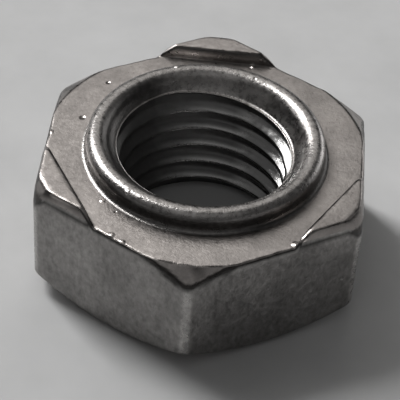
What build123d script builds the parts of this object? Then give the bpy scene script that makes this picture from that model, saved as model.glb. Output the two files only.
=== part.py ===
"""Hex weld nut, M8 by 1: a hexagon body with a turned pilot collar and three corner weld projections.

Millimetres, +Z up along the thread axis. The plain bearing face lies on z = 0 with its centre at the
origin, and one plain corner of the hexagon points towards -Y. The weld face looks up, with the collar
and the three projections on it. The bore's wall stands at the crests of the thread.
"""
import os
from math import cos, radians, sqrt, tan

from build123d import *

# ---------------------------------------------------------------- driving dimensions
across_flats = 14.0          # spanner size of the hexagon
body_height = 5.45           # bearing face to weld face
edge_round = 0.6             # radius on the six upright edges
chamfer_angle = 34.5         # slope of both turned chamfers, from the face
top_chamfer = 0.91           # from the sharp corner in to the edge of the weld face
bottom_chamfer = 1.42        # from the sharp corner in to the edge of the bearing face

thread_major = 8.0           # M8 by 1, the fine pitch
thread_crest = 7.1           # across the thread's crests, within 6H
lead_clearance = 0.02        # both 45 degree lead-ins open this far past the thread

collar_wall = 1.23           # from the thread's roots out to the pilot that locates in the sheet's hole
collar_height = 0.90         # above the weld face
collar_fillet = 0.20         # where the collar stands on the weld face
lip_width = 0.80             # across the collar's top, out to the pilot
mouth_depth = 0.86           # from the collar's top down the mouth's cone
relief_depth = 0.22          # straight wall between the mouth's cone and the upper lead-in

projection_height = 0.58     # above the weld face
projection_depth = 1.72      # from the inner wall's foot out to the sharp corner
wall_lean = 13.0             # the inner wall leans outwards
end_margin = 0.22            # the wall's foot stops this far short of the flats
end_angle = 36.5             # the ends slope down along the flats
rim_inset = 0.19             # chamfer round the projection's outer rim, inwards
rim_drop = 0.36              # and downwards
tip_inset = 0.51             # from the sharp corner in to the turned tip's upper edge
tip_angle = 62.0             # slope of that turned tip, from the face

# ---------------------------------------------------------------- worked out from them
corner_reach = across_flats / sqrt(3)     # axis to the sharp corner of the hexagon
clear_radius = corner_reach + 1           # outside every corner
slope = tan(radians(chamfer_angle))
weld_face_radius = corner_reach - top_chamfer
bearing_radius = corner_reach - bottom_chamfer

crest_radius = thread_crest / 2
lead_radius = thread_major / 2 + lead_clearance
lead_depth = lead_radius - crest_radius
overrun = 0.5                             # the bore's profile starts this far outside the metal

collar_radius = thread_major / 2 + collar_wall
collar_top = body_height + collar_height
mouth_radius = collar_radius - lip_width
mouth_end = collar_top - mouth_depth
relief_end = mouth_end - relief_depth
lip_round = lip_width / 2                 # the lip is a bead: a round outside
mouth_round = 0.68 * lip_width            # and a wider one into the mouth

projection_top = body_height + projection_height
tip_radius = corner_reach - tip_inset
tip_foot = projection_top - (clear_radius - tip_radius) * tan(radians(tip_angle))
wall_foot = corner_reach - projection_depth
wall_crest = wall_foot + projection_height * tan(radians(wall_lean))
foot_half = projection_depth * tan(radians(60)) - end_margin
end_run = projection_height / tan(radians(end_angle))
crest_half = foot_half + ((wall_crest - wall_foot) / 2 - end_run) / cos(radians(30))


def corner_plan(wall, half):
    """Plan of a projection: a wall across the corner and two ends square to the flats, open outside."""
    spread = half + (clear_radius - wall) * tan(radians(30))
    return (wall, -half), (clear_radius, -spread), (clear_radius, spread), (wall, half)


os.makedirs("parts", exist_ok=True)

# The hexagon bar, as tall as the projections: its upper rim is chamfered, its corners' tips are turned
with BuildPart() as bar:
    with BuildSketch() as hexagon:
        RegularPolygon(across_flats / 2, 6, major_radius=False, rotation=30)
        fillet(hexagon.vertices(), edge_round)
    extrude(amount=projection_top)
    bar_end = bar.faces().sort_by(Axis.Z)[-1]
    chamfer(bar_end.edges(), length=rim_inset, length2=rim_drop, reference=bar_end)
    with BuildSketch(Plane.XZ):
        with BuildLine():
            Polyline(
                (0, 0),
                (clear_radius, 0),
                (clear_radius, tip_foot),
                (tip_radius, projection_top),
                (0, projection_top),
                close=True,
            )
        make_face()
    revolve(axis=Axis.Z, mode=Mode.INTERSECT)

# The weld projections: three corners of that bar behind a leaning wall, with ends that slope down
with BuildPart() as projections:
    for angle in (-30, 90, 210):
        corner = Plane.XY.offset(body_height).rotated((0, 0, angle))
        with BuildSketch(corner):
            Polygon(*corner_plan(wall_foot, foot_half), align=None)
        extrude(amount=-body_height / 2)
        with BuildSketch(corner):
            Polygon(*corner_plan(wall_foot, foot_half), align=None)
        with BuildSketch(corner.offset(projection_height)):
            Polygon(*corner_plan(wall_crest, crest_half), align=None)
        loft(ruled=True)
    add(bar.part, mode=Mode.INTERSECT)

with BuildPart() as weld_nut:
    # body: the hexagon between two turned faces, whose chamfer cones cut its corners
    add(hexagon.sketch)
    extrude(amount=body_height)
    with BuildSketch(Plane.XZ):
        with BuildLine():
            Polyline(
                (0, 0),
                (bearing_radius, 0),
                (clear_radius, (clear_radius - bearing_radius) * slope),
                (clear_radius, body_height - (clear_radius - weld_face_radius) * slope),
                (weld_face_radius, body_height),
                (0, body_height),
                close=True,
            )
        make_face()
    revolve(axis=Axis.Z, mode=Mode.INTERSECT)
    add(projections.part)

    # pilot collar, filleted to the weld face
    with BuildSketch(Plane.XY.offset(body_height)):
        Circle(collar_radius)
    collar = extrude(amount=collar_height)
    fillet(collar.edges().group_by(Axis.Z)[0], collar_fillet)

    # bore: lead-in, crests of the thread, lead-in, relief and bell mouth
    with BuildSketch(Plane.XZ):
        with BuildLine():
            Polyline(
                (0, -overrun),
                (lead_radius + overrun, -overrun),
                (crest_radius, lead_depth),
                (crest_radius, relief_end - lead_depth),
                (lead_radius, relief_end),
                (lead_radius, mouth_end),
                (mouth_radius, collar_top),
                (0, collar_top),
                close=True,
            )
        make_face()
    revolve(axis=Axis.Z, mode=Mode.SUBTRACT)

    # the lip's bead, inner rim and outer rim
    lip_edges = faces().sort_by(Axis.Z)[-1].edges().sort_by(SortBy.RADIUS)
    fillet(lip_edges[-1], lip_round)
    lip_edges = faces().filter_by(GeomType.PLANE).sort_by(Axis.Z)[-1].edges().sort_by(SortBy.RADIUS)
    fillet(lip_edges[0], mouth_round)

weld_nut.part.label = "weld_nut"
export_step(weld_nut.part, "parts/weld_nut.step")
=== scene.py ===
"""Hex weld nut: the finished surface of the part, its steel finishes, and a plain studio around it.

Laid out as an add-on and run as a script. Sizes are in metres in the properties and the mesh, and in
millimetres inside the functions that work the surface out. +Z is the thread's axis, z = 0 the bearing
face, and one plain corner of the hexagon points towards -Y, as in the CAD model.
"""

import bpy
import numpy as np
from bpy.props import FloatProperty, FloatVectorProperty, IntProperty, PointerProperty
from mathutils import Matrix, Vector


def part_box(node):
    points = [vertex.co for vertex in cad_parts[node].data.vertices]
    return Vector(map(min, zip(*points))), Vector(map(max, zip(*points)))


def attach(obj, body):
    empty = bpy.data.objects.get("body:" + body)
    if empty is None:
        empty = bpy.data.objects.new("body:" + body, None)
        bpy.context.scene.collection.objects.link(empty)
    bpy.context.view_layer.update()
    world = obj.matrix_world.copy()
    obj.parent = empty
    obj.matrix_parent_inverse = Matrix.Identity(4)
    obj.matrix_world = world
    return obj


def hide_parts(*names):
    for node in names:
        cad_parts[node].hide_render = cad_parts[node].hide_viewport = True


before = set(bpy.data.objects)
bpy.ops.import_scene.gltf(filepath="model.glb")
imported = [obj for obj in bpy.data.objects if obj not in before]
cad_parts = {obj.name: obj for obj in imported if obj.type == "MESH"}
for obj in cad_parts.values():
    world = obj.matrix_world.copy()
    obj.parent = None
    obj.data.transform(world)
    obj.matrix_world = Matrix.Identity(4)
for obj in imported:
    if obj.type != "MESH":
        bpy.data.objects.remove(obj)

bl_info = {
    "name": "Hex weld nut",
    "version": (1, 0, 0),
    "blender": (4, 5, 0),
    "location": "3D View > Sidebar > Weld nut",
    "description": "Builds a hexagon weld nut with its pilot collar, projections and thread",
    "category": "Add Mesh",
}

NODE = "weld_nut"
MM = 1000.0
LOW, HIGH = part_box(NODE)
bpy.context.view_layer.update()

# Rows of the mesh, from the bearing face's inner edge round the outside and down the bore. TOP_ROWS runs
# from the flats' edge to a projection's rim, its wall's crest, its wall's foot and the collar's fillet.
BEARING_ROWS, CHAMFER_ROWS, FLAT_ROWS = 8, 8, 16
TOP_ROWS = (12, 9, 8, 12)
FILLET_ROWS = 6
LIP_ROWS, MOUTH_ROUND_ROWS, MOUTH_ROWS, BURR_ROWS = 10, 9, 6, 5
THREAD_ROWS = 72


def linear(code):
    """The linear colour of an sRGB hex code such as '#9E9995'."""
    channels = [int(code[i : i + 2], 16) / 255 for i in (1, 3, 5)]
    return tuple(c / 12.92 if c <= 0.04045 else ((c + 0.055) / 1.055) ** 2.4 for c in channels)


# ---------------------------------------------------------------- what a user would change
class WeldNutShape(bpy.types.PropertyGroup):
    """Sizes of the nut"""

    across_flats: FloatProperty(
        name="Across flats", description="Spanner size of the hexagon",
        default=HIGH.x - LOW.x, unit="LENGTH", subtype="DISTANCE")
    total_height: FloatProperty(
        name="Total height", description="Bearing face to the top of the pilot collar",
        default=HIGH.z - LOW.z, unit="LENGTH", subtype="DISTANCE")
    collar_height: FloatProperty(
        name="Collar height", description="Pilot collar above the weld face",
        default=0.00090, unit="LENGTH", subtype="DISTANCE")
    collar_radius: FloatProperty(
        name="Collar radius", description="Pilot that locates in the sheet's hole",
        default=0.00523, unit="LENGTH", subtype="DISTANCE")
    projection_height: FloatProperty(
        name="Projection height", description="Weld projections above the weld face",
        default=0.00058, unit="LENGTH", subtype="DISTANCE")
    thread_radius: FloatProperty(
        name="Thread radius", description="Radius at the thread's roots",
        default=0.0040, unit="LENGTH", subtype="DISTANCE")
    crest_radius: FloatProperty(
        name="Crest radius", description="Radius at the thread's crests",
        default=0.00355, unit="LENGTH", subtype="DISTANCE")
    pitch: FloatProperty(
        name="Pitch", description="Rise of the thread in one turn",
        default=0.0010, unit="LENGTH", subtype="DISTANCE")
    columns: IntProperty(
        name="Columns", description="Mesh columns round the nut, a multiple of three",
        default=528, min=96)


class WeldNutFinish(bpy.types.PropertyGroup):
    """Colours of the nut's four surfaces"""

    face_colour: FloatVectorProperty(
        name="Headed face", description="Colour of the cold-headed faces",
        default=linear("#97928F"), size=3, subtype="COLOR", min=0, max=1)
    side_colour: FloatVectorProperty(
        name="Drawn flats", description="Colour of the drawn flats",
        default=linear("#8E8C8A"), size=3, subtype="COLOR", min=0, max=1)
    collar_colour: FloatVectorProperty(
        name="Turned collar", description="Colour of the turned collar",
        default=linear("#928F8D"), size=3, subtype="COLOR", min=0, max=1)
    thread_colour: FloatVectorProperty(
        name="Tapped thread", description="Colour of the oily tapped thread",
        default=linear("#969594"), size=3, subtype="COLOR", min=0, max=1)


class WeldNutStage(bpy.types.PropertyGroup):
    """The floor's colour and the camera"""

    floor_colour: FloatVectorProperty(
        name="Floor", description="Colour of the pale floor",
        default=linear("#B5B5B5"), size=3, subtype="COLOR", min=0, max=1)
    view_turn: FloatProperty(
        name="View turn", description="Camera's turn about the nut, from straight in front",
        default=0.0403, unit="ROTATION", subtype="ANGLE")
    view_rise: FloatProperty(
        name="View rise", description="Camera's angle above the floor",
        default=0.7417, unit="ROTATION", subtype="ANGLE")
    view_roll: FloatProperty(
        name="View roll", description="Camera's roll about its own axis",
        default=0.0715, unit="ROTATION", subtype="ANGLE")
    view_distance: FloatProperty(
        name="View distance", description="Camera to the plane through the weld face's centre",
        default=0.06994, unit="LENGTH", subtype="DISTANCE")
    view_across: FloatProperty(
        name="View across", description="Camera's step to its own right",
        default=-0.000240, unit="LENGTH", subtype="DISTANCE", precision=6)
    view_up: FloatProperty(
        name="View up", description="Camera's step upwards in its own frame",
        default=-0.002180, unit="LENGTH", subtype="DISTANCE", precision=6)
    lens: FloatProperty(
        name="Lens", description="Focal length in mm on a 36 mm sensor",
        default=143.68, unit="CAMERA")


# ---------------------------------------------------------------- signed distances, in mm
def both(a, b, k):
    """Where two solids overlap, their shared edge rounded: the distance min(-k, max(a, b)) plus the
    length of (a + k, b + k) with negative parts dropped, which is an arc of radius k at right angles."""
    inner = np.minimum(-k, np.maximum(a, b))
    return inner + np.hypot(np.maximum(a + k, 0), np.maximum(b + k, 0))


def either(a, b, k):
    """Two solids joined, with a fillet of radius k where they meet: both() turned inside out."""
    return -both(-a, -b, k)


def ramp(value, start, width):
    """0 up to start, then evenly up to 1 at start + width. With a negative width it runs the other way:
    0 from start on, and 1 at start + width and below."""
    return np.clip((value - start) / width, 0, 1)


def bump(value, middle, width):
    """A bell of height 1 at middle: e to the power of minus the square of the distance over width."""
    return np.exp(-(((value - middle) / width) ** 2))


def ripple(p, length):
    """An uneven wave from -1 to 1 over the points p: the mean of four sines that run in four directions,
    with wavelengths near length, in mm."""
    runs = ((0.9, 0.3, 0.2, 0.0), (-0.4, 1.1, 0.3, 1.7), (0.5, -0.7, 1.2, 3.9), (-1.3, -0.6, 0.5, 5.1))
    number = 2 * np.pi / length
    waves = [np.sin(number * (a * p[0] + b * p[1] + c * p[2]) + start) for a, b, c, start in runs]
    return sum(waves) / len(waves)


def from_projection(angle):
    """Angle from the nearest projection's middle, which lies at 90 degrees and each third of a turn on."""
    return (angle - np.pi / 2 + np.pi / 3) % (2 * np.pi / 3) - np.pi / 3


def from_flat(angle):
    """Angle from the middle of the nearest flat, which faces +X and each sixth of a turn on."""
    return (angle + np.pi / 6) % (np.pi / 3) - np.pi / 6


def hexagon_distance(x, y, inradius, corner):
    """Signed distance to a hexagon with flats facing +X and -X and corners rounded by corner: the
    distance to the hexagon that is smaller by corner, folded into one sector, less corner."""
    across, along = np.abs(x), np.abs(y)
    small = inradius - corner
    fold = 2 * np.minimum(0.5 * across - np.sqrt(0.75) * along, 0)
    along, across = along + fold * np.sqrt(0.75), across - fold * 0.5
    half = small / np.sqrt(3)
    along, across = along - np.clip(along, -half, half), across - small
    return np.hypot(along, across) * np.sign(across) - corner


class NutForm:
    """The nut's form as sizes in mm, and its outside, up to the collar's wall, as one signed distance."""

    def __init__(self, shape):
        self.inradius = shape.across_flats * MM / 2
        self.face = (shape.total_height - shape.collar_height) * MM
        self.top = self.face + shape.collar_height * MM
        self.rise = shape.projection_height * MM
        self.collar = shape.collar_radius * MM
        self.root = shape.thread_radius * MM
        self.crest = shape.crest_radius * MM
        self.pitch = shape.pitch * MM

        # hexagon and its two turned chamfers
        self.corner_reach = self.inradius * 2 / np.sqrt(3)
        self.corner_round = 0.6
        self.corner_loss = 0.093            # what that round takes off a corner's reach
        self.chamfer = np.radians(34.5)
        self.top_radius = self.corner_reach - 0.91
        self.bearing_radius = self.corner_reach - 1.42
        self.foot_fillet = 0.20

        # projections: leaning inner wall, sloping ends, chamfered rim and turned tip
        self.wall_foot = self.corner_reach - 1.72
        self.wall_lean = np.radians(13.0)
        self.wall_run = 0.134               # how far that lean carries the wall's crest outwards
        self.foot_half = 1.72 * np.sqrt(3) - 0.22
        self.end_slope = np.radians(36.5)
        self.rim_inset, self.rim_drop = 0.19, 0.36
        self.tip_radius = self.corner_reach - 0.51
        self.tip_slope = np.radians(62.0)

        # soft rounds where the faces meet, and the waviness of what the die and the tool left
        self.rim_round, self.tip_round, self.wall_round, self.end_round = 0.06, 0.12, 0.15, 0.08
        self.face_round, self.corner_fill, self.bearing_round = 0.05, 0.04, 0.06
        self.flat_round, self.flat_round_swing, self.swing_length = 0.19, 0.05, 1.1
        self.wave_height, self.wave_length = 0.02, 2.3

        # lip, bell mouth and the lead-ins of the bore
        self.lip_width, self.lip_round, self.mouth_round = 0.80, 0.40, 0.544
        self.mouth_end = self.top - 0.86
        self.lead_radius = self.root + 0.02
        self.bore_edge = self.lead_radius + 0.04        # where the bearing face begins
        self.thread_top = self.mouth_end - 0.37         # where the thread starts to run out

    def outline(self, x, y):
        """Signed distance to the hexagon with its rounded upright edges."""
        return hexagon_distance(x, y, self.inradius, self.corner_round)

    def end_lift(self, x, y):
        """Height of a projection's sloping end above the weld face, its corner lying along +x."""
        along = 0.5 * (x - self.wall_foot) - np.sqrt(0.75) * (np.abs(y) - self.foot_half)
        return along * np.tan(self.end_slope)

    def projection(self, x, y, z, side, k):
        """One corner's block, its corner along +x: where the slabs under its top, its chamfered rim, its
        turned tip, its leaning wall and its sloping ends overlap, their rounds scaled by k. side is the
        signed distance to the hexagon."""
        top = z - (self.face + self.rise)
        lift = z - self.face
        wall = (self.wall_foot + lift * np.tan(self.wall_lean) - x) * np.cos(self.wall_lean)
        rim = self.rim_drop * (side + self.rim_inset) + self.rim_inset * top
        rim = rim / np.hypot(self.rim_drop, self.rim_inset)
        tip = (np.hypot(x, y) - self.tip_radius) * np.sin(self.tip_slope)
        tip = tip + top * np.cos(self.tip_slope)
        end = (lift - self.end_lift(x, y)) * np.cos(self.end_slope)
        block = both(both(top, rim, self.rim_round * k), tip, self.tip_round * k)
        block = both(block, wall, self.wall_round * k)
        return both(block, end, self.end_round * k)

    def distance(self, p, k=1.0):
        """Signed distance of the points p, an array (3, ...): the hexagon under the chamfer's cone and
        the face, joined with the projections, cut from below by the lower cone, and joined with the
        collar. k scales every round and the cones' waviness, and k = 0 gives the sharp form."""
        x, y, z = p
        radius = np.hypot(x, y)
        side = self.outline(x, y)
        turn = from_projection(np.arctan2(y, x))
        u, v = radius * np.cos(turn), radius * np.sin(turn)
        slope_s, slope_c = np.sin(self.chamfer), np.cos(self.chamfer)
        wander = self.wave_height * k * ripple(p, self.wave_length)
        cone = (radius - self.top_radius) * slope_s + (z - self.face) * slope_c + wander
        upper = both(z - self.face, cone, self.face_round * k)
        upper = either(upper, self.projection(u, v, z, side + wander, k), self.corner_fill * k)
        flat_round = self.flat_round + self.flat_round_swing * ripple(p, self.swing_length)
        solid = both(side, upper, flat_round * k)
        under = (radius - self.bearing_radius) * slope_s - z * slope_c
        solid = both(solid, both(-z, under, self.face_round * k), self.bearing_round * k)
        pilot = both(radius - self.collar, self.face / 2 - z, 0)
        return either(solid, pilot, self.foot_fillet * k)

    def sharp_top(self, radius, angle):
        """Height of the sharp form's top at a radius and an angle: the higher of the body's face or
        chamfer and the projection, which is the lowest of its top, ends, wall, tip and rim."""
        turn = from_projection(angle)
        u, v = radius * np.cos(turn), radius * np.abs(np.sin(turn))
        body = np.minimum(self.face, self.face - (radius - self.top_radius) * np.tan(self.chamfer))
        block = np.minimum(self.rise, self.end_lift(u, v))
        block = np.minimum(block, (u - self.wall_foot) / np.tan(self.wall_lean))
        tip = self.rise - (radius - self.tip_radius) * np.tan(self.tip_slope)
        side = self.outline(radius * np.cos(angle), radius * np.sin(angle))
        rim = self.rise - (side + self.rim_inset) * self.rim_drop / self.rim_inset
        block = np.minimum(np.minimum(block, tip), np.maximum(rim, self.rise - self.rim_drop))
        return np.maximum(body, self.face + block)

    def press(self, p, rounds=6):
        """Move the points p onto the form along its slope: p less distance times gradient over its
        square, a Newton step, with the gradient from central differences. Returns p and the normals."""
        step = 1e-4
        flattest = 0.25             # keeps the steps short where the gradient is small
        for _ in range(rounds):
            here = self.distance(p)
            slope = np.empty_like(p)
            for axis in range(3):
                shift = np.zeros((3,) + (1,) * (p.ndim - 1))
                shift[axis] = step
                slope[axis] = (self.distance(p + shift) - self.distance(p - shift)) / (2 * step)
            p = p - here * slope / np.maximum((slope**2).sum(0), flattest)
        return p, slope / np.sqrt((slope**2).sum(0))

    def wear_and_light(self, p, normal):
        """How much polish and painted highlight, and how much painted shade, the surface gets at the
        points p with the given normals, each 0 to 1. The sharp form's distance is below zero on a rounded
        edge and above it in a filleted hollow. Each place is a product of ramps over slope, height and
        radius, and the strongest one counts."""
        x, y, z = p
        radius = np.hypot(x, y)
        upright = normal[2]
        inward = -(normal[0] * x + normal[1] * y) / radius
        sharp = self.distance(p, 0.0)
        edge, hollow = ramp(sharp, 0, -0.010), ramp(sharp, 0, 0.012)
        on_top = z > self.face - 0.02

        # Lightened: painted glints on edges that look up, in short runs; the six upright edges, worn
        # bright; a painted highlight on the collar's foot on the side towards the window; and a painted
        # reflection, a streak along the projections' inner walls
        looks_up = ramp(upright, 0.82, 0.08)
        # Short runs where the upward edges get a painted glint; between them painted shade
        glint_runs = np.clip(0.3 + 2.0 * ripple(p, 0.9), 0, 1)
        corner = ramp(hexagon_distance(x, y, self.inradius, 0.0), 0, -0.02)
        upright_edge = corner * ramp(np.abs(upright), 0.08, -0.06)
        # Painted highlight on the collar's foot on the side towards the window, where the hollow gets no
        # painted shade
        lit_foot = ramp(x / radius, 0.5, -0.4) * (radius < self.collar + 0.25)
        # Inner walls above the face: a painted reflection in a streak at mid height, painted shade above
        # and below it
        inner_wall = ramp(inward, 0.6, 0.2) * (z > self.face + 0.05)
        wall_reflection = bump(z, self.face + 0.30, 0.11)
        polish_and_highlight = np.maximum.reduce([
            0.25 * edge * looks_up * glint_runs, 0.8 * upright_edge,
            0.6 * lit_foot * hollow * on_top, 0.4 * inner_wall * wall_reflection])

        # Darkened: painted shade in hollows, on edges that look sideways or towards the axis, in the gaps
        # between the glint runs, a painted shadow on the face in front of the collar, painted shade along
        # the face's back edge and on the inner walls above and below their streak; and the chamfer's cone
        # a little darker as a whole
        above = ramp(z, self.face + 0.02, 0.05)
        # Painted shade on edges that look sideways, and on those that look towards the axis
        shaded_slope = ramp(upright, 0.80, -0.08) * ramp(upright, -0.1, 0.2)
        shaded_slope = shaded_slope * (1 - above * ramp(upright, 0.49 + 0.014 * x, -0.2))
        shaded_slope = np.maximum(shaded_slope, ramp(inward, 0.12, 0.2))
        shaded_slope = np.maximum(shaded_slope, 0.85 * looks_up * (1 - glint_runs))
        # A painted shadow of the collar on the face in front of it, fading out within 0.75 mm
        front = np.clip(0.5 - 0.9 * (y - 0.35 * x) / radius, 0, 1)
        beside = ramp(radius, self.collar + 0.87, -0.75) ** 2 * on_top
        # Painted shade along the face's edge at the back of the nut
        back_edge = bump(radius, self.top_radius, 0.08) * ramp(y / radius, -0.2, 0.3)
        back_edge = back_edge * (np.abs(z - self.face) < 0.08)
        # The chamfer's cone below the face, made a little darker as a whole
        chamfer_cone = ramp(z, self.face, -0.03) * ramp(upright, 0.72, 0.06)
        shade_and_oil = np.maximum.reduce([
            hollow * (1 - lit_foot), edge * shaded_slope, 0.75 * front * beside, 0.9 * back_edge,
            0.8 * inner_wall * (1 - wall_reflection), 0.22 * chamfer_cone])
        return polish_and_highlight, shade_and_oil


# ---------------------------------------------------------------- the mesh's rows and columns, in mm
def eased(count, start=True):
    """count fractions from 0 up to but not including 1, closer together at the end, and at the start
    too unless start is off: a half or a quarter of a sine wave."""
    t = np.linspace(0, 1, count + 1)[:-1]
    return (1 - np.cos(np.pi * t)) / 2 if start else np.sin(np.pi * t / 2)


def column_angles(count):
    """Angles of the mesh columns, denser at the six corners and at the projections' ends: the inverse of
    a running sum of a density, worked out for a third of a turn and repeated three times."""
    t = np.linspace(0, 2 * np.pi / 3, 6001)
    away = np.degrees(np.abs(from_projection(t)))
    density = 1.0
    for middle, width, gain in ((0, 3.2, 1.6), (60, 3.2, 1.6), (20.5, 4.5, 1.2)):
        density = density + gain * bump(away, middle, width)
    total = np.concatenate([[0], np.cumsum((density[1:] + density[:-1]) / 2)])
    third = np.interp(np.arange(count // 3) / (count // 3) * total[-1], total, t)
    return np.concatenate([third, third + 2 * np.pi / 3, third + 4 * np.pi / 3])


def outer_rows(form, angle):
    """Sections of the outside, one per angle, from the bearing face round to the collar's foot. The rows
    run evenly between the form's own edges, closer together at each: the bearing face's rim, the two
    chamfers' ends on the flat, the projection's rim, its wall's crest and foot, and the collar's fillet.
    Past a projection's ends the edges on top blend into plain circles. Returns (3, rows, columns)."""
    zero = np.zeros_like(angle)
    gap = 0.02                          # the least distance between two edges
    fold = from_flat(angle)
    reach = form.inradius / np.cos(fold)
    blunt = form.corner_reach - form.corner_loss + 0.72 * np.abs(np.abs(fold) - np.pi / 6)
    reach = np.minimum(reach, blunt)

    spread = np.abs(from_projection(angle))
    end_turn = np.arctan2(form.foot_half, form.wall_foot)
    blend = ramp(spread, end_turn, np.radians(4.0))
    blend = blend * blend * (3 - 2 * blend)
    wall = form.wall_foot / np.cos(np.minimum(spread, end_turn))
    plain_rim = np.minimum(form.top_radius, reach - 2 * gap)
    rim = (1 - blend) * np.minimum(reach - form.rim_inset, form.tip_radius) + blend * plain_rim
    rim = np.minimum(np.maximum(rim, wall + 2.5 * gap), reach - gap)
    crest = (1 - blend) * np.minimum(wall + form.wall_run, rim - gap) + blend * (plain_rim - 5 * gap)
    foot = np.minimum((1 - blend) * wall + blend * (plain_rim - 10 * gap), crest - gap / 2)
    inner = form.collar + form.foot_fillet + zero

    radii, heights = [], []

    def lay(r0, z0, r1, z1, fractions):
        for t in fractions:
            radii.append(r0 + (r1 - r0) * t)
            heights.append(z0 + (z1 - z0) * t)

    bearing = form.bearing_radius + zero
    under = np.maximum((reach - bearing) * np.tan(form.chamfer), gap)
    upper = form.sharp_top(reach - gap / 20, angle)
    lay(form.bore_edge + zero, zero, bearing, zero, eased(BEARING_ROWS, start=False))
    lay(bearing, zero, reach, under, eased(CHAMFER_ROWS))
    lay(reach, under, reach, upper, eased(FLAT_ROWS))
    for r0, r1, count in zip((reach, rim, crest, foot), (rim, crest, foot, inner), TOP_ROWS):
        for t in eased(count):
            radii.append(r0 + (r1 - r0) * t)
            heights.append(form.sharp_top(radii[-1], angle))
    for t in np.linspace(0, np.pi / 2, FILLET_ROWS):
        radii.append(inner - form.foot_fillet * np.sin(t))
        heights.append(form.face + form.foot_fillet * (1 - np.cos(t)) + zero)
    radii, heights = np.array(radii), np.array(heights)
    return np.array([radii * np.cos(angle), radii * np.sin(angle), heights])


def rounded_path(points, bends, steps):
    """A path through points whose corners are arcs: each corner of radius bends[i] is replaced by
    steps[i] points of the arc that touches both of its runs. Returns the arcs alone, an array (2, n)."""
    path = []
    for i in range(1, len(points) - 1):
        corner = np.array(points[i])
        back = np.array(points[i - 1]) - corner
        ahead = np.array(points[i + 1]) - corner
        back, ahead = back / np.hypot(*back), ahead / np.hypot(*ahead)
        half = np.arccos(np.clip(back @ ahead, -1, 1)) / 2
        centre = corner + (back + ahead) / np.hypot(*(back + ahead)) * bends[i - 1] / np.sin(half)
        start = corner + back * bends[i - 1] / np.tan(half) - centre
        end = corner + ahead * bends[i - 1] / np.tan(half) - centre
        sweep = np.pi - 2 * half
        for t in np.linspace(0, 1, steps[i - 1]):
            w0, w1 = np.sin((1 - t) * sweep) / np.sin(sweep), np.sin(t * sweep) / np.sin(sweep)
            path.append(centre + start * w0 + end * w1)
    return np.array(path).T


LIT_SIDE = np.radians(20)           # the part of the bore that faces the window
SHADED_SIDE = np.radians(200)         # the part turned away from it, where shade is painted


def shaded_side(angle):
    """1 on the side of the bore turned away from the window, where shade is painted, and 0 on the other,
    with a soft change between them.
    """
    return ramp(np.cos(angle - SHADED_SIDE), 0.10, 0.25)


def thread_radius(form, angle, height):
    """Radius of the threaded bore at an angle and a height: a right-hand helix whose profile rises at
    60 degrees from a narrow crest to the root, the crest's corners and the root's rounded."""
    first_crest = 0.42                  # height of a crest at angle 0
    crest_half, crest_round, root_round = 0.03, 0.05, 0.10
    turns = (height - first_crest) / form.pitch - angle / (2 * np.pi)
    off = np.abs(turns - np.round(turns)) * form.pitch
    level = np.zeros_like(off)
    rise = both((off - crest_half) * np.sqrt(3), level, crest_round)
    return form.root - both(form.root - form.crest - rise, level, root_round)


def bore_rows(form, angle):
    """The collar's wall, its rounded lip, the bell mouth with the burr the tap left at its lower edge,
    the thread and the lead-out, as sections of radius and height that turn about the axis. The mouth is
    a curve from the lip's round to the burr: its start times (1 - t)^2, plus its bend times
    2 t (1 - t), plus its end times t^2. The burr stands higher and flatter on the shaded side. The
    thread's rows follow thread_radius() between the two 45 degree lead-ins. Returns (3, rows, columns)."""
    wall_foot, wall_top = form.face + form.foot_fillet, form.top - form.lip_round
    wall_z = wall_foot + (wall_top - wall_foot) * np.array([0.33, 0.67])
    lip = rounded_path(
        [(form.collar, wall_foot), (form.collar, form.top), (form.collar - form.lip_width, form.top),
         (form.lead_radius, form.mouth_end)],
        [form.lip_round, form.mouth_round], [LIP_ROWS, MOUTH_ROUND_ROWS])
    path_r = np.concatenate([np.full_like(wall_z, form.collar), lip[0]])[:, None]
    path_z = np.concatenate([wall_z, lip[1]])[:, None]

    # The burr's radius and drop below the mouth on the lit side, what it gains on the far side, and
    # the radius of its own round, which the tap flattened on the shaded side
    burr_radius, burr_drop, burr_spread, burr_climb, burr_round = 3.78, 0.17, 0.12, 0.36, 0.045
    away = np.minimum((1 - np.cos(angle - LIT_SIDE)) / 1.1, 1)
    burr_r, burr_z = burr_radius + burr_spread * away, form.mouth_end - burr_drop + burr_climb * away
    bead = burr_round * (1 - 0.85 * shaded_side(angle))
    t = np.linspace(0, 1, MOUTH_ROWS + 1)[1:, None]
    a, b, c = (1 - t) ** 2, 2 * t * (1 - t), t**2
    start_r, start_z = path_r[-1], path_z[-1]
    pull_in, pull_down = 0.12, 0.25     # from the curve's start to the point that bends it
    curve_r = a * start_r + b * (start_r - pull_in) + c * (burr_r + bead)
    curve_z = a * start_z + b * (start_z - pull_down) + c * burr_z
    turn = np.radians(np.linspace(80, -60, BURR_ROWS))[:, None]
    bead_r, bead_z = burr_r + bead * (1 - np.cos(turn)), burr_z + bead * (np.sin(turn) - 0.6)

    under = burr_z - 2 * bead - (form.lead_radius - burr_r) / np.sqrt(3)
    thread_z = under * np.linspace(1, 0, THREAD_ROWS)[:, None]
    cut = thread_radius(form, angle, thread_z) - form.lead_radius
    lead_in = np.minimum(0, thread_z - form.thread_top)
    run_out = 0.02                      # round where the thread runs out under the mouth
    cut = form.lead_radius + both(cut, lead_in, run_out)
    cut = np.maximum(cut, form.lead_radius - thread_z)

    ones = np.ones_like(angle)
    radii = np.concatenate([path_r * ones, curve_r, bead_r, cut])
    heights = np.concatenate([path_z * ones, curve_z, bead_z, thread_z])
    return np.array([radii * np.cos(angle), radii * np.sin(angle), heights])


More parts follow.
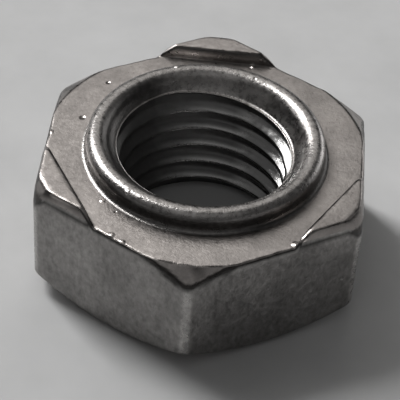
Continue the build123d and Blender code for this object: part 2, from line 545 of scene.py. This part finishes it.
def bore_wear_and_light(form, angle, p):
    """How much polish and painted highlight, and how much painted shade, the rows p of bore_rows() get,
    each 0 to 1. The burr gets a painted highlight all round but the shaded side, and the flanks that look
    up get one where the window's light falls in. Shade is painted on the collar's wall under the lip, over
    the shaded side, in the thread's roots and more and more towards the bottom."""
    radius, height = np.hypot(p[0], p[1]), p[2]
    side = shaded_side(angle)
    thread_r, thread_z = radius[-THREAD_ROWS:], height[-THREAD_ROWS:]
    flank = np.gradient(thread_r, axis=0) / np.gradient(thread_z, axis=0)
    # Painted highlight: flanks that look up, on the side towards the window, are lightened and polished
    window_side = ramp(np.cos(angle - LIT_SIDE), 0.6, 0.2)
    lit_flank = ramp(flank, 0.3, 0.3) * window_side
    polish_and_highlight = np.zeros_like(radius)
    # Painted highlight on the burr, lightened and polished except on the shaded side
    polish_and_highlight[-THREAD_ROWS - BURR_ROWS : -THREAD_ROWS] = 1
    polish_and_highlight[-THREAD_ROWS:] = lit_flank

    # Painted shade: the collar's wall under the lip, more on the shaded side; the mouth's lower part on
    # the shaded side; in the thread the shaded side, the roots and, more and more, the bottom, but not the
    # lit flanks
    under_lip = ramp(height, form.top - 0.18 + 0.03 * side, -0.12) * (radius > form.collar - 0.08)
    shade = (0.62 + 0.28 * side) * under_lip
    shade = np.maximum(shade, 0.9 * side * ramp(radius, form.lead_radius + 0.58, -0.15))
    roots = 0.62 * ramp(thread_r, form.crest + 0.05, 0.20)
    deep = 0.30 * ramp(thread_z, 4.2, -4.2)
    shade[-THREAD_ROWS:] = np.maximum(0.72 * side, np.maximum(roots, deep) * (1 - lit_flank))
    return polish_and_highlight * (1 - side), shade


def closed_mesh(name, p):
    """A mesh from a grid of points (3, rows, columns) whose rows and columns both close on themselves."""
    rows, columns = p.shape[1:]
    mesh = bpy.data.meshes.new(name)
    co = np.moveaxis(p, 0, -1).reshape(-1, 3) / MM
    index = np.arange(rows * columns).reshape(rows, columns)
    right, up = np.roll(index, -1, 1), np.roll(index, -1, 0)
    corner = np.roll(right, -1, 0)
    quads = np.stack([index, right, corner, up], -1).reshape(-1, 4)
    mesh.vertices.add(len(co))
    mesh.vertices.foreach_set("co", co.astype(np.float32).ravel())
    mesh.loops.add(quads.size)
    mesh.loops.foreach_set("vertex_index", quads.ravel().astype(np.int32))
    mesh.polygons.add(len(quads))
    mesh.polygons.foreach_set("loop_start", np.arange(0, quads.size, 4, dtype=np.int32))
    mesh.update(calc_edges=True)
    mesh.validate()
    return mesh


# ---------------------------------------------------------------- finishes
def add_node(tree, kind, settings=None, values=None):
    """Add a node: settings are its attributes, values its inputs, where a socket is linked."""
    node = tree.nodes.new(kind)
    for key, value in (settings or {}).items():
        setattr(node, key, value)
    for key, value in (values or {}).items():
        if isinstance(value, bpy.types.NodeSocket):
            tree.links.new(value, node.inputs[key])
        else:
            node.inputs[key].default_value = value
    return node


def in_mm(tree):
    """The surface's own coordinates, in mm."""
    where = add_node(tree, "ShaderNodeTexCoord").outputs["Object"]
    return add_node(tree, "ShaderNodeMapping", values={"Vector": where, "Scale": (MM, MM, MM)}).outputs[0]


def noise(tree, vector, size, detail=3.0, stretch=(1, 1, 1)):
    """Noise whose grains are about size mm across, stretched along the axes, from 0 to 1."""
    place = add_node(tree, "ShaderNodeMapping", values={
        "Vector": vector, "Scale": tuple(1 / (size * s) for s in stretch)})
    return add_node(tree, "ShaderNodeTexNoise", values={
        "Vector": place.outputs[0], "Scale": 1.0, "Detail": detail, "Roughness": 0.62}).outputs["Fac"]


def span(tree, value, low, high, start, end, steps="LINEAR"):
    """Value carried from the range low..high to start..end and kept inside it."""
    return add_node(tree, "ShaderNodeMapRange", {"interpolation_type": steps}, {
        "Value": value, "From Min": low, "From Max": high, "To Min": start, "To Max": end}).outputs[0]


def sums(tree, kind, a, b):
    """One step of arithmetic on two values."""
    return add_node(tree, "ShaderNodeMath", {"operation": kind}, {0: a, 1: b}).outputs[0]


def scaled(tree, colour, factor):
    """A colour times a factor."""
    return add_node(tree, "ShaderNodeVectorMath", {"operation": "SCALE"}, {
        0: tuple(colour), "Scale": factor}).outputs[0]


# Sizes of the steel's patterns, in mm: stains of dried oil, flecks of scale, and rubbed patches. The
# flecks of real steel are finer, too fine to show at this distance. Noise lies mostly within 0.3 to 0.7.
STAIN, FLECK, PATCH = 1.6, 0.22, 0.5
PITS_PER_MM, PIT_FLOOR, PIT_RIM, PIT_DEPTH = 0.9, 0.03, 0.10, 0.02
PIT_SHARE = 0.38                    # of the places where a pit could be
# A polished roughness, the colour's gain where it is fully lightened by wear or painted highlight, and its
# gain under full painted shade
POLISHED, LIGHTENING_GAIN, DARKENING_GAIN = 0.16, 1.5, 0.24


def steel(name, colour, roughness, blotch, speck, grain, depth, oiled=-0.04, stretch=(1, 1, 1), dents=()):
    """Bare steel under a film of oil. Its colour is swung by stains and flecks, by the shares blotch and
    speck of itself, lightened where the mesh marks worn corners and painted highlights and reflections,
    and darkened where it marks painted shade. Its roughness wanders with the flecks, falls to a polished
    one where the lightened places meet a rubbed patch, and gains oiled where shade is painted. Its bump,
    in mm, is a grain of that size and depth, a few fine pits, and dents listed as angle, radius, height,
    size and lift; the tops of the raised ones are painted up to three times lighter, a painted highlight."""
    material = bpy.data.materials.new(name)
    material.use_nodes = True
    tree = material.node_tree
    tree.nodes.clear()
    mm = in_mm(tree)
    polish_and_highlight = add_node(tree, "ShaderNodeAttribute", {"attribute_name": "polish_and_highlight"}).outputs["Fac"]
    shade_and_oil = add_node(tree, "ShaderNodeAttribute", {"attribute_name": "shade_and_oil"}).outputs["Fac"]

    stains = noise(tree, mm, STAIN, 5.0, stretch)
    flecks = noise(tree, mm, FLECK, stretch=stretch)
    patches = span(tree, noise(tree, mm, PATCH), 0.38, 0.60, 0, 1)
    tone = sums(tree, "MULTIPLY", span(tree, stains, 0.3, 0.7, 1 - blotch, 1 + blotch),
                span(tree, flecks, 0.25, 0.75, 1 - speck, 1 + speck))
    # Painted shade darkens the colour; worn corners and painted highlights lighten it
    tone = sums(tree, "MULTIPLY", tone, span(tree, shade_and_oil, 0, 1, 1, DARKENING_GAIN))
    tone = sums(tree, "MULTIPLY", tone, span(tree, polish_and_highlight, 0, 1, 1, LIGHTENING_GAIN))
    rough = sums(tree, "ADD", span(tree, flecks, 0.3, 0.7, roughness - 0.06, roughness + 0.06),
                 span(tree, sums(tree, "MULTIPLY", polish_and_highlight, patches), 0, 1, 0, POLISHED - roughness))
    rough = sums(tree, "ADD", rough, span(tree, shade_and_oil, 0, 1, 0, oiled))

    height = sums(tree, "MULTIPLY", noise(tree, mm, grain, stretch=stretch), depth)
    pits = add_node(tree, "ShaderNodeTexVoronoi", values={"Vector": mm, "Scale": PITS_PER_MM})
    lot = add_node(tree, "ShaderNodeSeparateXYZ", values={0: pits.outputs["Color"]}).outputs[0]
    pit = span(tree, pits.outputs["Distance"], PIT_FLOOR, PIT_RIM, -PIT_DEPTH, 0, "SMOOTHSTEP")
    pit = sums(tree, "MULTIPLY", pit, sums(tree, "GREATER_THAN", lot, 1 - PIT_SHARE))
    height = sums(tree, "ADD", height, pit)
    sparkle = 0.0
    for turn, radius, rise, size, lift in dents:
        turn = np.radians(turn)
        place = (radius * np.cos(turn), radius * np.sin(turn), rise)
        far = add_node(tree, "ShaderNodeVectorMath", {"operation": "DISTANCE"}, {
            0: mm, 1: place}).outputs["Value"]
        height = sums(tree, "ADD", height, span(tree, far, 0, size, lift, 0, "SMOOTHSTEP"))
        # A raised dent's top is painted up to three times lighter, a painted highlight
        if lift > 0:
            spot = span(tree, far, 0.3 * size, 0.9 * size, 1, 0, "SMOOTHSTEP")
            sparkle = sums(tree, "ADD", sparkle, spot)
    tone = sums(tree, "MULTIPLY", tone, sums(tree, "ADD", 1.0, sums(tree, "MULTIPLY", sparkle, 2.0)))
    relief = add_node(tree, "ShaderNodeBump", values={
        "Height": height, "Strength": 1.0, "Distance": 1 / MM}).outputs[0]
    shader = add_node(tree, "ShaderNodeBsdfPrincipled", values={
        "Base Color": scaled(tree, colour, tone), "Metallic": 1.0, "Roughness": rough, "Normal": relief})
    add_node(tree, "ShaderNodeOutputMaterial", values={"Surface": shader.outputs[0]})
    return material


# Knocks from tumbling with other nuts and burrs raised by them, whose tops are painted light as a
# highlight: angle in degrees, radius, height, size and lift in mm
FACE_DENTS = (
    (178, 6.9, 5.5, 0.20, 0.06), (166, 5.8, 5.5, 0.20, -0.06), (140, 6.3, 5.5, 0.15, -0.05),
    (224, 5.6, 5.5, 0.15, 0.04), (240, 6.8, 5.5, 0.20, 0.06), (245, 6.9, 5.5, 0.20, 0.06),
    (308, 6.8, 5.5, 0.22, 0.07), (310, 6.9, 5.7, 0.28, 0.07), (75, 6.5, 5.5, 0.18, 0.06),
)
LIP_DENTS = ((234, 5.0, 6.2, 0.20, 0.06), (317, 5.1, 6.1, 0.12, 0.03), (111, 4.9, 6.3, 0.16, 0.05))


class MESH_OT_weld_nut(bpy.types.Operator):
    """Build the weld nut's finished surface and its steel finishes"""

    bl_idname = "mesh.weld_nut"
    bl_label = "Weld nut"

    def execute(self, context):
        shape, finish = context.scene.weld_nut_shape, context.scene.weld_nut_finish
        if shape.columns % 3:
            raise ValueError("the number of columns has to be a multiple of three")
        form = NutForm(shape)
        angle = column_angles(shape.columns)
        outside, normal = form.press(outer_rows(form, angle))
        inside = bore_rows(form, angle)
        mesh = closed_mesh("weld_nut_finished", np.concatenate([outside, inside], axis=1))
        wear_and_light = zip(("polish_and_highlight", "shade_and_oil"), form.wear_and_light(outside, normal), bore_wear_and_light(form, angle, inside))
        for name, outer, inner in wear_and_light:
            layer = mesh.attributes.new(name, "FLOAT", "POINT")
            layer.data.foreach_set("value", np.concatenate([outer, inner]).astype(np.float32).ravel())
        nut = bpy.data.objects.new("weld_nut_finished", mesh)
        context.scene.collection.objects.link(nut)

        # Pressed by the die: an even satin that turns light and dark as a whole, with soft reflections
        mesh.materials.append(steel(
            "Cold-headed steel", finish.face_colour, roughness=0.33, blotch=0.24, speck=0.14,
            grain=0.12, depth=0.013, oiled=-0.02, dents=FACE_DENTS))
        # Drawn as a bar: a duller, leathery grey whose marks run a little along the nut's axis
        mesh.materials.append(steel(
            "Drawn steel", finish.side_colour, roughness=0.42, blotch=0.24, speck=0.32,
            grain=0.22, depth=0.038, stretch=(1, 1, 1.5)))
        # Turned and handled: brighter, narrow highlights round the lip, dulled where oil has dried, and
        # darker under the lip, where shade is painted
        mesh.materials.append(steel(
            "Turned steel", finish.collar_colour, roughness=0.29, blotch=0.20, speck=0.34,
            grain=0.11, depth=0.015, oiled=0.10, dents=LIP_DENTS))
        # Tapped under oil: the smoothest steel here, glossy, and lightened where the flanks face the
        # window, a painted highlight; black and matt where shade is painted, in the roots, towards the
        # bottom and on the side away from the window
        mesh.materials.append(steel(
            "Tapped steel", finish.thread_colour, roughness=0.20, blotch=0.14, speck=0.12,
            grain=0.15, depth=0.003, oiled=0.40))
        rows = outside.shape[1] + inside.shape[1]
        first_flat = BEARING_ROWS + CHAMFER_ROWS
        slot = np.zeros(rows, np.int32)
        slot[first_flat : first_flat + FLAT_ROWS] = 1
        slot[outside.shape[1] - FILLET_ROWS :] = 2
        slot[rows - THREAD_ROWS :] = 3
        mesh.polygons.foreach_set("material_index", np.repeat(slot, shape.columns))
        mesh.polygons.foreach_set("use_smooth", np.ones(rows * shape.columns, bool))
        mesh.update()
        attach(nut, "root")
        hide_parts(NODE)
        return {"FINISHED"}


# ---------------------------------------------------------------- the stage
# Softboxes round the nut: name, turn (0 is +X, anticlockwise) and rise in degrees, width and height in
# metres, power in watts, colour. The window gives the shadow and the highlights, the others fill in.
LIGHTS = (
    ("window", 140, 46.5, 0.25, 0.44, 9.2, "#FFFFFF"),
    ("window_sill", 148, 28, 0.52, 0.26, 1.5, "#FFFFFF"),
    ("back_wall", 108, 49, 0.8, 0.8, 1.8, "#FFFDFA"),
    ("far_wall", 46, 10, 0.6, 0.34, 1.5, "#FFFFFF"),
    ("right_strip", -40, 10, 0.5, 0.2, 0.12, "#FFFFFF"),
    ("left_strip", -143, 8, 0.4, 0.2, 0.12, "#FFFFFF"),
    ("front_wall", -92, 20, 0.7, 0.4, 0.14, "#FFFFFF"),
    ("ceiling", -95, 62, 0.8, 0.8, 0.5, "#FFFFFF"),
)
LIGHT_DISTANCE = 1.0
FLOOR_HALF = 1.5
PAPER_MOTTLE = 4.0                          # mm, the faint cloudiness of matt paper
ROOM_LOW, ROOM_HIGH = 0.04, 0.11            # the dim room, at the horizon and overhead


def area_light(name, turn, rise, width, height, power, colour):
    """A softbox at LIGHT_DISTANCE that looks at the nut from a turn and a rise, in degrees."""
    light = bpy.data.lights.new(name, "AREA")
    light.shape = "RECTANGLE"
    light.size, light.size_y = width, height
    light.energy = power
    light.color = linear(colour)
    lamp = bpy.data.objects.new(name, light)
    turn, rise = np.radians(turn), np.radians(rise)
    place = Vector((np.cos(turn) * np.cos(rise), np.sin(turn) * np.cos(rise), np.sin(rise)))
    lamp.location = place * LIGHT_DISTANCE
    lamp.rotation_euler = (-place).to_track_quat("-Z", "Y").to_euler()
    bpy.context.scene.collection.objects.link(lamp)


def paper_floor(colour):
    """A level square of matt paper at z = 0, whose colour is clouded by five hundredths."""
    mesh = bpy.data.meshes.new("floor")
    corners = [(x * FLOOR_HALF, y * FLOOR_HALF, 0) for x, y in ((-1, -1), (1, -1), (1, 1), (-1, 1))]
    mesh.from_pydata(corners, [], [(0, 1, 2, 3)])
    # Uncoated paper: no gloss, so it only takes the shadow
    paper = bpy.data.materials.new("Matt paper")
    paper.use_nodes = True
    tree = paper.node_tree
    shader = tree.nodes["Principled BSDF"]
    clouds = span(tree, noise(tree, in_mm(tree), PAPER_MOTTLE), 0.3, 0.7, 0.95, 1.05)
    tree.links.new(scaled(tree, colour, clouds), shader.inputs["Base Color"])
    shader.inputs["Roughness"].default_value = 0.8
    mesh.materials.append(paper)
    return bpy.data.objects.new("floor", mesh)


class SCENE_OT_weld_nut_stage(bpy.types.Operator):
    """Build the floor, the lights, the background and the camera"""

    bl_idname = "scene.weld_nut_stage"
    bl_label = "Stage"

    def execute(self, context):
        scene, stage, shape = context.scene, context.scene.weld_nut_stage, context.scene.weld_nut_shape
        floor = paper_floor(stage.floor_colour)
        scene.collection.objects.link(floor)
        for light in LIGHTS:
            area_light(*light)

        world = bpy.data.worlds.new("world")
        scene.world = world
        world.use_nodes = True
        tree = world.node_tree
        sky = add_node(tree, "ShaderNodeTexCoord").outputs["Generated"]
        upward = add_node(tree, "ShaderNodeSeparateXYZ", values={0: sky}).outputs["Z"]
        level = span(tree, upward, 0.0, 0.8, ROOM_LOW, ROOM_HIGH)
        tree.links.new(level, tree.nodes["Background"].inputs["Strength"])
        tree.nodes["Background"].inputs["Color"].default_value = (1, 1, 1, 1)

        turn, rise, roll = stage.view_turn, stage.view_rise, stage.view_roll
        back = Vector((np.sin(turn) * np.cos(rise), -np.cos(turn) * np.cos(rise), np.sin(rise)))
        right = Vector((np.cos(turn), np.sin(turn), 0))
        up = back.cross(right)
        across = right * np.cos(roll) + up * np.sin(roll)
        upright = up * np.cos(roll) - right * np.sin(roll)
        aim = Vector((0, 0, shape.total_height - shape.collar_height))
        place = aim + back * stage.view_distance + across * stage.view_across + upright * stage.view_up
        camera = bpy.data.cameras.new("camera")
        camera.sensor_width = 36.0
        camera.lens = stage.lens
        camera.clip_start = 0.001
        view = bpy.data.objects.new("camera", camera)
        turned = Matrix((across, upright, back)).transposed().to_4x4()
        view.matrix_world = Matrix.Translation(place) @ turned
        scene.collection.objects.link(view)
        scene.camera = view
        scene.view_settings.view_transform = "Standard"
        return {"FINISHED"}


class VIEW3D_PT_weld_nut(bpy.types.Panel):
    bl_label = "Weld nut"
    bl_space_type = "VIEW_3D"
    bl_region_type = "UI"
    bl_category = "Weld nut"

    def draw(self, context):
        scene = context.scene
        for group in (scene.weld_nut_shape, scene.weld_nut_finish, scene.weld_nut_stage):
            for name in group.__annotations__:
                self.layout.prop(group, name)
        self.layout.operator(MESH_OT_weld_nut.bl_idname)
        self.layout.operator(SCENE_OT_weld_nut_stage.bl_idname)


CLASSES = (
    WeldNutShape, WeldNutFinish, WeldNutStage,
    MESH_OT_weld_nut, SCENE_OT_weld_nut_stage, VIEW3D_PT_weld_nut,
)


def register():
    for cls in CLASSES:
        bpy.utils.register_class(cls)
    bpy.types.Scene.weld_nut_shape = PointerProperty(type=WeldNutShape)
    bpy.types.Scene.weld_nut_finish = PointerProperty(type=WeldNutFinish)
    bpy.types.Scene.weld_nut_stage = PointerProperty(type=WeldNutStage)


def unregister():
    del bpy.types.Scene.weld_nut_stage
    del bpy.types.Scene.weld_nut_finish
    del bpy.types.Scene.weld_nut_shape
    for cls in reversed(CLASSES):
        bpy.utils.unregister_class(cls)


def main():
    register()
    bpy.ops.mesh.weld_nut()
    bpy.ops.scene.weld_nut_stage()


if __name__ == "__main__":
    main()
